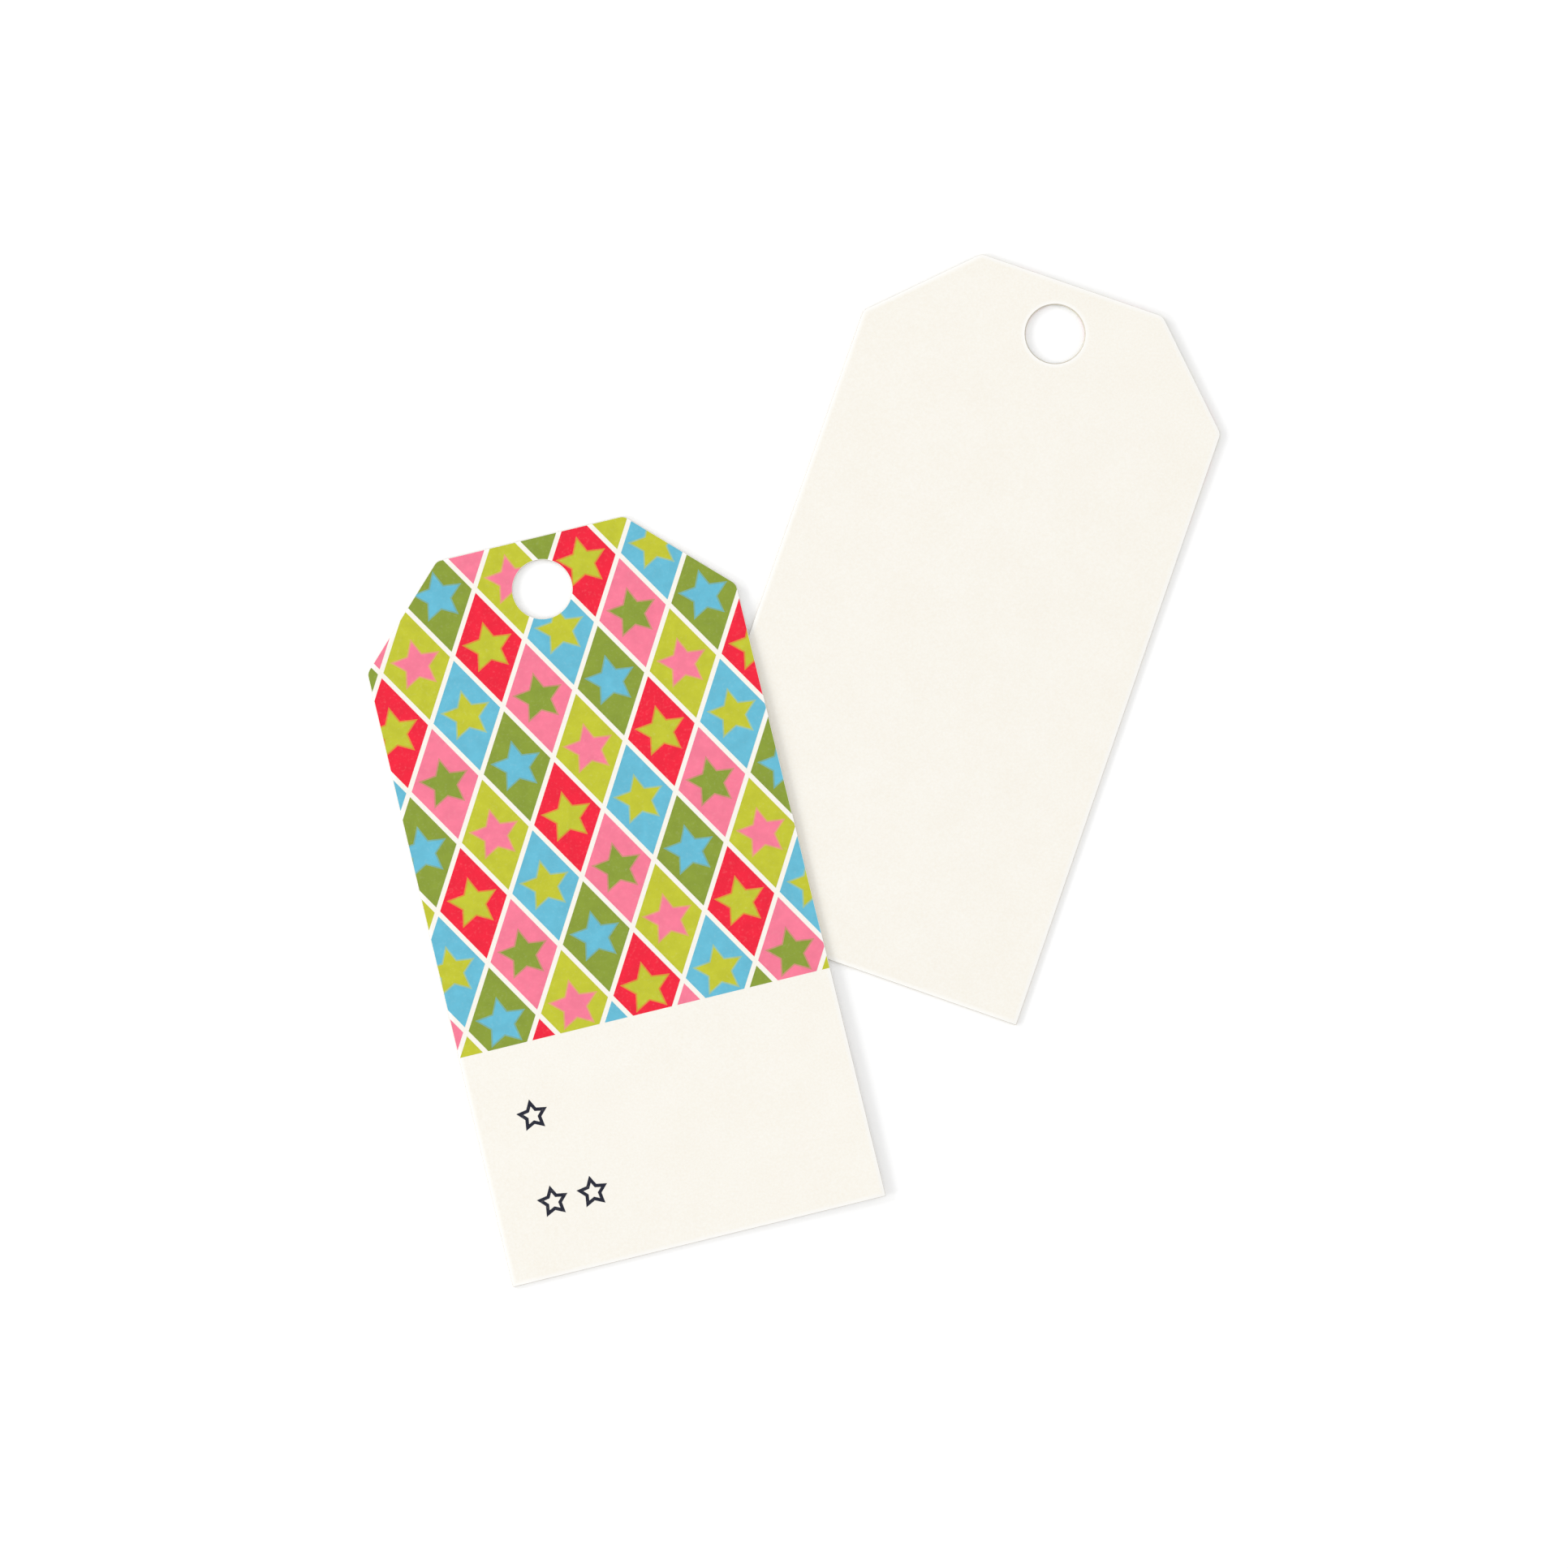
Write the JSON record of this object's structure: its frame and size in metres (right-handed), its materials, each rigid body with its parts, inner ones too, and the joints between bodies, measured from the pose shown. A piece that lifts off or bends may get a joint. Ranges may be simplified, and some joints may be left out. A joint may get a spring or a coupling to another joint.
{
  "type": "pair of gift tags",
  "caption": "Die-cut paper gift tags with cut corners and a string hole, printed face lying over a plain-backed one; the upper tag lifts off.",
  "frame": {"origin": "middle of the pair's footprint, on the table that the tags lie on", "axes": "+Z up out of the table, +Y towards the string ends of both tags and along the pair's longest side, +X to the right seen from above with +Y up"},
  "size_m": [0.1142, 0.1382, 0.0011],
  "materials": {
    "card_stock": "uncoated warm white cover stock, matt",
    "red_ink": "flat red ink soaked into uncoated card, matt",
    "pink_ink": "flat pink ink soaked into uncoated card, matt",
    "lime_ink": "flat lime ink soaked into uncoated card, matt",
    "olive_ink": "flat olive ink soaked into uncoated card, matt",
    "blue_ink": "flat blue ink soaked into uncoated card, matt",
    "navy_ink": "flat navy ink soaked into uncoated card, matt"
  },
  "bodies": {
    "front_tag": {"front_tag_card": "card_stock", "front_tag_red_ink": "red_ink", "front_tag_pink_ink": "pink_ink", "front_tag_lime_ink": "lime_ink", "front_tag_olive_ink": "olive_ink", "front_tag_blue_ink": "blue_ink", "front_tag_navy_ink": "navy_ink"},
    "back_tag": {"back_tag_card": "card_stock", "back_tag_red_ink": "red_ink", "back_tag_pink_ink": "pink_ink", "back_tag_lime_ink": "lime_ink", "back_tag_olive_ink": "olive_ink", "back_tag_blue_ink": "blue_ink", "back_tag_navy_ink": "navy_ink"}
  },
  "joints": [
    {"name": "front_tag_lift", "type": "slide", "parent": "back_tag", "child": "front_tag", "axis": [0, 0, 1], "range_m": [0, 0.04]}
  ]
}
